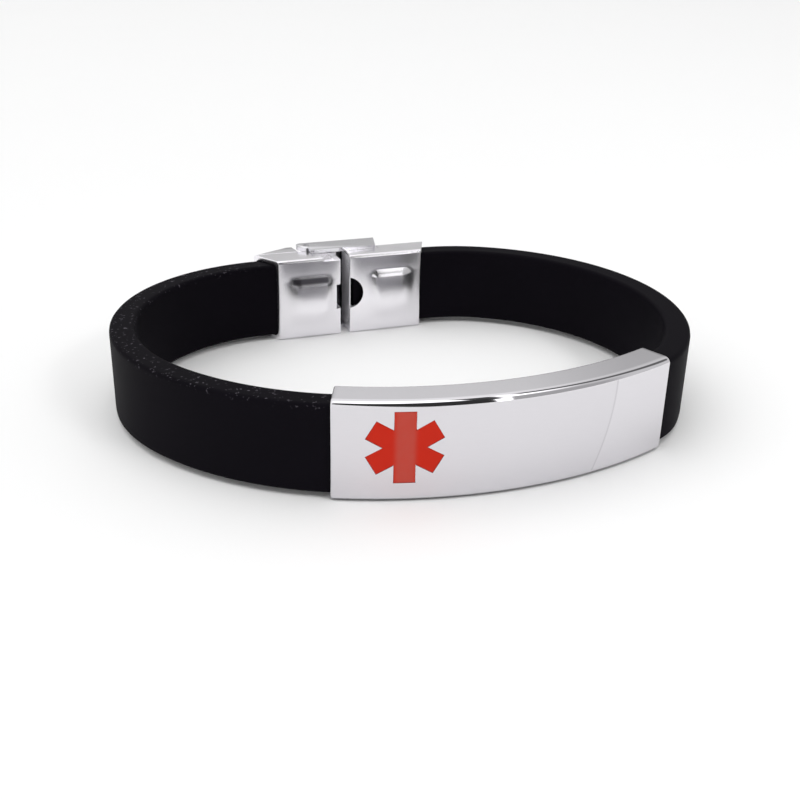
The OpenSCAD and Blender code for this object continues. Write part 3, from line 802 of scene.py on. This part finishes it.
def star_shell(name, m, extra, low, high, edge):
    """Closed star lying on the plate, larger by extra all round, between two heights over the plate's face,
    its upper edge rounded."""
    per, edge_steps, shrinks = 4, 4, (1, 0.7, 0.4, 0.12)
    star = m.star
    place = on_plate(m)
    middle = -(m.plate.length / 2 - star.inset)
    share = m.plate.radius / (m.plate.radius + m.plate_half)

    def spot(p, height):
        return place(middle + p.x * share, m.plate_half + height, m.mid_z + star.rise + p.y)

    def outline(inset):
        return star_outline(star.length + 2 * (extra - inset), star.arm + 2 * (extra - inset), per)

    steps = [PI / 2 * q / edge_steps for q in range(edge_steps + 1)] if edge else [0]
    rings = [(0, low)] + [(edge * (1 - math.cos(a)), high - edge * (1 - math.sin(a))) for a in steps]
    bm = bmesh.new()
    rows = [[spot(p, height) for p in outline(inset)] for inset, height in rings]
    for one, two in zip(rows, rows[1:]):
        skin(bm, [one + one[:1], two + two[:1]])
    # the bottom and the top: a grid in each of the six arms, and a middle in shrinking rings
    for inset, height in (rings[0], rings[-1]):
        edge_points = outline(inset)
        count = len(edge_points)
        bases = []
        for k in range(6):
            start = k * 3 * per
            right = edge_points[start:start + per + 1]
            left = [edge_points[(start + 3 * per - i) % count] for i in range(per + 1)]
            grid = [[a.lerp(b, i / per) for i in range(per + 1)] for a, b in zip(right, left)]
            skin(bm, [[spot(p, height) for p in row] for row in grid])
            bases += grid[0][:-1]
        shrunk = [[p * s for p in bases + bases[:1]] for s in shrinks]
        skin(bm, [[spot(p, height) for p in row] for row in shrunk])
        bm.faces.new([bm.verts.new(spot(p, height)) for p in shrunk[-1][:-1]])
    return finish_mesh(bm, name, sharp=50)


class BRACELET_OT_star(bpy.types.Operator):
    """Lays the enamel star in the plate."""

    bl_idname = "bracelet.star"
    bl_label = "Star"

    def execute(self, context):
        m = measures(context.scene)
        star = m.star
        made = star_shell("star_enamel", m, extra=0, low=-star.depth, high=star.proud, edge=star.edge)
        low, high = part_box("medical_star")
        material = fired_enamel(star.colour, star.pale, (low.x + high.x) / 2, star.arm)
        finished(made, BODY, "medical_star", material)
        return {"FINISHED"}


def sleeve(name, m, end, side, mouth, pad_x, slope, rise, opening=None, holes=()):
    """One end cap's pressed sleeve, from its end to the mouth of its inner wall, on the given side, with an
    end wall. The pad stands about pad_x and slopes up to its rise under its top edge. The opening is cut from
    the sleeve before the end wall is set in, the holes from the end wall."""
    clasp = m.clasp
    counts = {"corner_steps": 5, "across_points": 10, "up_points": 66}
    outer = rounded_ring((-m.cap_half, 0), (m.cap_half, METAL_TOP), (clasp.edge,) * 4, **counts)
    overrun = clasp.mouth + clasp.overrun - mouth
    flat = 3  # the higher, the flatter the crown is along the cap
    droop, square = 0.5 * MM, 6  # how far the pad's top edge bends down at its ends, and how late
    lower_share, bottom_share = 0.6, 0.35  # of the pad's height: where it swells, and where it ends below
    joint_soft, mouth_soft = 1.3 * MM, 2.4 * MM  # width of the pad's sides towards the joint and the mouth
    more_soft, from_share = 2.1 * MM, 0.25  # how much wider these grow downwards, and from where
    spread, spread_soft = 1.2 * MM, 3.2 * MM  # how much wider than the pad its swell is, and its soft sides
    # how far the end wall stands out of the sleeve and laps it, so that no two faces lie in one plane
    outside, lap = 0.015 * MM, clasp.rim + 0.12 * MM

    def ends(point):
        return mouth + overrun * (point.x + m.cap_half) / (2 * m.cap_half)

    def press(along, across, up):
        if across > -m.half:
            return 0
        off_middle = (along - (end + mouth) / 2) / (mouth - end) * 2
        crown = hump((up - m.mid_z) / m.mid_z) * hump(off_middle ** flat)
        bent_top = m.pad_top - droop * (2 * (along - pad_x) / clasp.pad_w) ** square
        under_top = fade((bent_top - up) / slope)
        lower = min(max((m.pad_top - slope / 2 - up) / (clasp.pad_h * lower_share), 0), 1)
        softness = ((joint_soft if along < pad_x else mouth_soft)
                    + more_soft * fade((m.pad_top - up) / clasp.pad_h - from_share))
        aside = fade((clasp.pad_w / 2 - abs(along - pad_x)) / softness)
        falling = fade((up - (m.pad_top - clasp.pad_h)) / (clasp.pad_h * bottom_share))
        wide = fade((clasp.pad_w / 2 + spread - abs(along - pad_x)) / spread_soft)
        raised = rise * under_top * aside + clasp.pad_swell * lower * (3 - lower * lower) / 2 * wide
        return -clasp.crown * crown - raised * falling

    made = tube(name, outer, channel_ring(m, counts), on_clasp(m, side), lambda point: end, ends, stations=70,
                rim=clasp.rim, press=press)
    if opening:
        combine(made, opening, "DIFFERENCE")
    wall = block("end_wall", (end - outside, end + clasp.wall), (-m.channel - lap, m.channel + lap),
                 (STRAP_LOW - m.plate.gap - lap, STRAP_HIGH + m.plate.gap + lap), on_clasp(m, side))
    for hole in holes:
        combine(wall, hole, "DIFFERENCE")
    return combine(made, wall, "UNION")


def cheek_rooms(m, thing, plan):
    """Cuts the room for the cover's two cheeks out of a cap, over a plan of (along, across) points."""
    for bottom in (-PAST, COVER_TOP - m.cheek_room):
        tool = prism("room", plan, bottom, bottom + m.cheek_room + PAST, on_clasp(m))
        combine(thing, tool, "DIFFERENCE")


class BRACELET_OT_left_cap(bpy.types.Operator):
    """Builds the left end cap: sleeve, housing and knuckle."""

    bl_idname = "bracelet.left_cap"
    bl_label = "Left end cap"

    def execute(self, context):
        m = measures(context.scene)
        clasp, cover = m.clasp, m.cover
        place = on_clasp(m)
        # steps between faces, so that no two that meet lie in one plane
        housing_step, knuckle_step, foot_step, foot_sunk = 0.02 * MM, 0.01 * MM, 0.005 * MM, 0.04 * MM
        slot_in, slot_short, bore_gap = clasp.wall * 1.6, 0.05 * MM, 0.02 * MM
        made = sleeve("left_cap_steel", m, -m.left_end, -1, m.left_mouth, m.left_pad, clasp.left_slope,
                      clasp.pad_rise * clasp.left_share)
        slot = block("slot", (m.left_end - slot_in, m.left_end + PAST),
                     (-m.cap_half - PAST, m.channel - slot_short),
                     (m.mid_z - clasp.slot / 2, m.mid_z + clasp.slot / 2), place)
        combine(made, slot, "DIFFERENCE")
        # the housing: a wedge up to the cover's face, hollowed where the cheeks swing
        wedge_y = m.cover_out - cover.gap
        height = wedge_y - m.hinge_y
        lean = height / math.tan(cover.swing) - (m.cover_out - m.hinge_y) / math.sin(cover.swing)
        wedge_top = min(m.hinge_x - m.sweep_r, m.hinge_x - cover.gap + lean)
        hollow = arc(m.hinge, m.sweep_r, PI, math.asin(cover.knuckle / m.sweep_r), count=8)
        low_y = m.cap_half - SUNK
        plan = [(-clasp.mouth - clasp.overrun + SUNK, low_y), (wedge_top - cover.knuckle, wedge_y),
                (wedge_top, wedge_y)] + hollow + [(hollow[-1][0], low_y)]
        housing = prism("housing", plan, housing_step, METAL_TOP - housing_step, place)
        bevel(housing, width=0.3 * MM, segments=3)
        combine(made, housing, "UNION")
        cheek_rooms(m, made, circle(m.hinge, m.sweep_r))
        cheek_rooms(m, made, rectangle((m.hinge_x - cover.gap, 0), (m.cheek_floor, m.cap_half + PAST)))
        recess = block("recess", (m.left_end - clasp.recess, m.left_end + PAST),
                       (-m.cap_half - PAST, cover.cheek), (METAL_TOP - cover.wall, METAL_TOP + PAST), place)
        combine(made, recess, "DIFFERENCE")
        # the knuckle on its foot, bored for the pin
        low, high = m.cheek_room + knuckle_step, COVER_TOP - m.cheek_room - knuckle_step
        web = cover.knuckle * 0.7
        knuckle = prism("knuckle", circle(m.hinge, cover.knuckle), low, high, place)
        foot = block("foot", (m.hinge_x - web, m.hinge_x + web), (low_y - foot_sunk, m.hinge_y),
                     (low - foot_step, high + foot_step), place)
        combine(made, combine(knuckle, foot, "UNION"), "UNION")
        bore = prism("bore", circle(m.hinge, cover.pin + bore_gap), -PAST, METAL_TOP + PAST, place)
        combine(made, bore, "DIFFERENCE")
        finished(made, BODY, "left_end_cap", clasp_steel(m))
        return {"FINISHED"}


class BRACELET_OT_right_cap(bpy.types.Operator):
    """Builds the right end cap: sleeve with the half-round notch, and the catch block."""

    bl_idname = "bracelet.right_cap"
    bl_label = "Right end cap"

    def execute(self, context):
        m = measures(context.scene)
        clasp, cover = m.clasp, m.cover
        place = on_clasp(m)
        pad_x = (m.right_end + clasp.notch - clasp.notch_back + clasp.mouth) / 2

        def notch(least, depth):
            moved = 0.2 * MM  # points at most this far under the least place are moved to it
            middle = (m.right_end - clasp.notch_back, m.mid_z + clasp.notch_lift)
            outline = [(max(x, least), z) for x, z in circle(middle, clasp.notch, count=90)
                       if x > least - moved]
            return prism("notch", outline, -m.cap_half - PAST, depth,
                         lambda along, up, across: place(along, across, up))

        # two holes in the end wall, a little over one hole's height from its lower and upper edges
        hole_start, hole_depth = 0.1 * MM, 2.6 * clasp.wall
        holes = [block("hole", (m.right_end - PAST, m.right_end + PAST),
                       (hole_start - m.channel, hole_depth - m.channel), (low, low + clasp.corner), place)
                 for low in (1.2 * clasp.corner, METAL_TOP - 2.2 * clasp.corner)]
        made = sleeve("right_cap_steel", m, m.right_end, 1, clasp.mouth, pad_x, clasp.right_slope,
                      clasp.pad_rise, notch(m.right_end - 2 * PAST, -m.half), holes)
        # the notch's deep part starts a step in from the end and stops short of the outer wall
        step_in, stop_short = 0.17 * MM, 0.07 * MM
        combine(made, notch(m.right_end + step_in, m.channel - stop_short), "DIFFERENCE")
        room_end = m.hinge_x + m.reach + 3 * cover.gap
        cheek_rooms(m, made, rectangle((0, room_end), (m.cheek_floor, m.cap_half + PAST)))
        # the catch: free of the lip and the face, over the middle two thirds of the height
        free = 4 * cover.gap
        catch_end = flared(m, m.cover_in - cover.lip) - cover.wall - free
        catch = block("catch", (catch_end - cover.catch, catch_end), (m.cap_half - SUNK, m.cover_in - free),
                      (m.mid_z / 3, m.mid_z * 5 / 3), place)
        bevel(catch, width=0.2 * MM)
        combine(made, catch, "UNION")
        finished(made, BODY, "right_end_cap", clasp_steel(m))
        return {"FINISHED"}


def flared(m, across):
    """Where the cover's end stands along the clasp, at a distance from the middle line."""
    return m.cover_end + m.cover.flare * (across - m.cover.cheek) / (m.cover_out - m.cover.cheek)


class BRACELET_OT_cover(bpy.types.Operator):
    """Builds the fold-over cover: face, cheeks and lip bent from one sheet."""

    bl_idname = "bracelet.cover"
    bl_label = "Cover"

    def execute(self, context):
        m = measures(context.scene)
        cover = m.cover
        place = on_clasp(m)
        trim, face_step, cheek_step, bore_gap = 0.3 * MM, 0.01 * MM, 0.02 * MM, 0.05 * MM
        lip_in, radius = m.cover_in - cover.lip, m.cheek_r - cheek_step
        face_y = m.cover_out + face_step
        start = math.acos((m.cover_start - m.hinge_x) / radius)
        outline = [(m.hinge_x, cover.cheek), (m.cover_end, cover.cheek),
                   (flared(m, m.cover_out - trim), m.cover_out - trim),
                   (flared(m, m.cover_out) - trim, face_y), (m.cover_start, face_y)]
        outline += arc(m.hinge, radius, start, 1.5 * PI - start, count=24)
        made = prism("cover_steel", outline, -PAST, COVER_TOP + PAST, place)
        outside = rounded_ring((cover.cheek - PAST, 0), (m.cover_out, COVER_TOP), (m.clasp.edge,) * 4,
                               corner_steps=6, across_points=2, up_points=2)
        long_edges = prism("long_edges", outside, 2 * m.hinge_x, -2 * m.hinge_x,
                           lambda across, up, along: place(along, across, up))
        combine(made, long_edges, "INTERSECT")
        inside = [(2 * m.hinge_x, cover.cheek - PAST), (m.cover_end + PAST, cover.cheek - PAST),
                  (m.cover_end + PAST, lip_in), (flared(m, lip_in) - cover.wall, lip_in),
                  (flared(m, m.cover_in) - cover.wall, m.cover_in), (m.cover_start, m.cover_in),
                  (m.cover_start, m.cover_out + PAST), (2 * m.hinge_x, m.cover_out + PAST)]
        combine(made, prism("inside", inside, cover.wall, COVER_TOP - cover.wall, place), "DIFFERENCE")
        bevel(made, cover.edge)
        bore = prism("bore", circle(m.hinge, cover.pin + bore_gap), -PAST, COVER_TOP + PAST, place)
        combine(made, bore, "DIFFERENCE")
        # polished sheet: brighter than the caps, with softly drawn reflections
        material = steel("polished_stainless_steel", cover.colour, rough=(0.1, 0.18), wave=0.006,
                         scratch=0.0006)
        finished(made, COVER_BODY, "clasp_cover", material)
        return {"FINISHED"}


class BRACELET_OT_pin(bpy.types.Operator):
    """Gives the hinge pin its drawn steel."""

    bl_idname = "bracelet.pin"
    bl_label = "Hinge pin"

    def execute(self, context):
        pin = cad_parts["hinge_pin"]
        # drawn wire: greyer and duller than the sheet round it
        material = steel("drawn_stainless_wire", linear("#B9B8BC"), rough=(0.25, 0.35), wave=0.002,
                         scratch=0.001)
        if not pin.material_slots:
            raise RuntimeError("the pin has no material slot")
        for slot in pin.material_slots:
            slot.material = material
        return {"FINISHED"}


# The stage


class BRACELET_OT_stage(bpy.types.Operator):
    """Sets the floor, the camera and the soft light."""

    bl_idname = "bracelet.stage"
    bl_label = "Stage"

    def execute(self, context):
        scene = context.scene
        stage = scene.bracelet_stage
        bm = bmesh.new()
        bmesh.ops.create_grid(bm, x_segments=1, y_segments=1, size=3)
        mesh = bpy.data.meshes.new("floor")
        bm.to_mesh(mesh)
        bm.free()
        floor = new_object("floor", mesh)
        floor.location.z = -0.01 * MM  # just under the lowest edges
        # pale paper: nearly white and matt, faintly cloudy
        material, tree, where = new_material("pale_paper")
        cloud = add(tree, "ShaderNodeTexNoise", {"Vector": where, "Scale": per_mm(60), "Detail": 2.0})
        tone = add(tree, "ShaderNodeMix", {"Factor": cloud, "A": rgba(stage.floor),
                                           "B": rgba(stage.floor, 0.99)}, data_type="RGBA")
        shader = add(tree, "ShaderNodeBsdfPrincipled", {"Base Color": tone, "Roughness": 0.8,
                                                        "Specular IOR Level": 0.2})
        add(tree, "ShaderNodeOutputMaterial", {"Surface": shader})
        mesh.materials.append(material)

        camera = new_object("camera", bpy.data.cameras.new("camera"))
        camera.data.sensor_width, camera.data.lens = 36, stage.lens
        camera.data.clip_start = 0.005
        az, el = stage.azimuth, stage.elevation
        back = Vector((math.sin(az) * math.cos(el), -math.cos(az) * math.cos(el), math.sin(el)))
        right = (-back).cross(Vector((0, 0, 1))).normalized()
        up = right.cross(-back)
        turned = (math.cos(stage.roll) * right + math.sin(stage.roll) * up,
                  -math.sin(stage.roll) * right + math.cos(stage.roll) * up, back)
        camera.matrix_world = Matrix.Translation(stage.place) @ Matrix(turned).transposed().to_4x4()
        scene.camera = camera

        lamp("key_softbox", place=(-0.15, 0.05, 0.9), aim=(0, 0, 0), size=(1.1, 1.1), power=stage.key)
        lamp("strip_softbox", place=(0.19, -0.33, 0.33), aim=(0, 0.025, 0.01), size=(0.12, 0.06),
             power=stage.strip)
        room(scene, stage.sky)
        scene.view_settings.view_transform = "Standard"
        return {"FINISHED"}


def lamp(name, place, aim, size, power):
    """Rectangular soft light at a place, aimed at a point."""
    data = bpy.data.lights.new(name, "AREA")
    data.shape, data.size, data.size_y, data.energy = "RECTANGLE", size[0], size[1], power
    made = new_object(name, data)
    made.location = place
    made.rotation_euler = (Vector(aim) - Vector(place)).to_track_quat("-Z", "Y").to_euler()
    made.visible_glossy = False


def room(scene, brightness):
    """Room round the stage, its brightness given by the way one looks: x right, y away from the camera's
    side, z up. The camera itself sees pale paper."""
    world = bpy.data.worlds.new("room")
    world.use_nodes = True
    scene.world = world
    tree = world.node_tree
    tree.nodes.clear()
    way = add(tree, "ShaderNodeTexCoord").outputs["Generated"]
    x, y, z = add(tree, "ShaderNodeSeparateXYZ", {"Vector": way}).outputs
    # the camera's side is dark over a lowest height that climbs to the left
    lowest = overlap(tree, (x, -0.02, -0.4, -0.1, 0.55))
    over = add(tree, "ShaderNodeMath", {0: z, 1: lowest}, operation="SUBTRACT")
    front = ((over, 0.0, 0.08), (y, -0.3, -0.55))
    wall_behind = overlap(tree, (z, 0.3, 0.42, 0.36, 0.6), (x, 0.42, 0.5, 1.0, 0.78))
    ceiling = ((z, 0.55, 0.75), (y, 0.25, -0.1), (x, 0.62, 0.42), (x, -0.32, -0.18, 0.3, 1.0))
    beam = ((x, 0.205, 0.225), (x, 0.345, 0.32), (y, 0.1, 0.0), (z, 0.5, 0.6))
    dark = (*front, (x, 0.29, 0.275), (z, 0.9, 0.86))
    window = (*front, (x, 0.283, 0.295), (x, 0.37, 0.355), (z, 0.66, 0.6))
    dull = (*front, (x, 0.355, 0.37), (x, 0.85, 0.75), (z, 0.82, 0.74))
    rail = ((y, -0.2, -0.14), (y, 0.22, 0.16), (x, 0.37, 0.41), (z, 0.4, 0.5))
    behind = ((y, 0.45, 0.6), (z, 0.6, 0.5))
    # the walls, duller to the right, and over them each patch with its brightness
    bright = overlap(tree, (x, 0.38, 0.58, 0.8, 0.56))
    for patch, value in ((ceiling, 1.6), (beam, 0.06), (dark, 0.03), (window, 1.9), (dull, 0.36),
                         (rail, 0.12), (behind, wall_behind)):
        bright = add(tree, "ShaderNodeMix", {"Factor": overlap(tree, *patch), "A": bright, "B": value},
                     data_type="FLOAT")
    seen = add(tree, "ShaderNodeBackground", {"Color": bright, "Strength": brightness})
    plain = add(tree, "ShaderNodeBackground", {"Color": (0.93, 0.93, 0.93, 1), "Strength": 1.0})
    direct = add(tree, "ShaderNodeLightPath").outputs["Is Camera Ray"]
    both = add(tree, "ShaderNodeMixShader", {0: direct, 1: seen, 2: plain})
    add(tree, "ShaderNodeOutputWorld", {"Surface": both})


# Panel and running


class BRACELET_PT_panel(bpy.types.Panel):
    """Lists the steps that build the bracelet."""

    bl_idname = "BRACELET_PT_panel"
    bl_label = "Bracelet"
    bl_space_type = "VIEW_3D"
    bl_region_type = "UI"
    bl_category = "Bracelet"

    def draw(self, context):
        for step in STEPS:
            self.layout.operator(step.bl_idname)


STEPS = (BRACELET_OT_strap, BRACELET_OT_plate, BRACELET_OT_star, BRACELET_OT_left_cap, BRACELET_OT_right_cap,
         BRACELET_OT_cover, BRACELET_OT_pin, BRACELET_OT_stage)
SETTINGS = {"bracelet_strap": StrapSettings, "bracelet_plate": PlateSettings, "bracelet_star": StarSettings,
            "bracelet_clasp": ClaspSettings, "bracelet_cover": CoverSettings, "bracelet_stage": StageSettings}


def register():
    """Registers the settings, the steps and the panel."""
    for name, kind in SETTINGS.items():
        bpy.utils.register_class(kind)
        setattr(bpy.types.Scene, name, PointerProperty(type=kind))
    for kind in (*STEPS, BRACELET_PT_panel):
        bpy.utils.register_class(kind)


def unregister():
    """Takes everything that register added out again."""
    for kind in reversed((*STEPS, BRACELET_PT_panel)):
        bpy.utils.unregister_class(kind)
    for name, kind in SETTINGS.items():
        delattr(bpy.types.Scene, name)
        bpy.utils.unregister_class(kind)


def main():
    """Builds every piece in turn."""
    register()
    for step in STEPS:
        group, name = step.bl_idname.split(".")
        getattr(getattr(bpy.ops, group), name)()


if __name__ == "__main__":
    main()
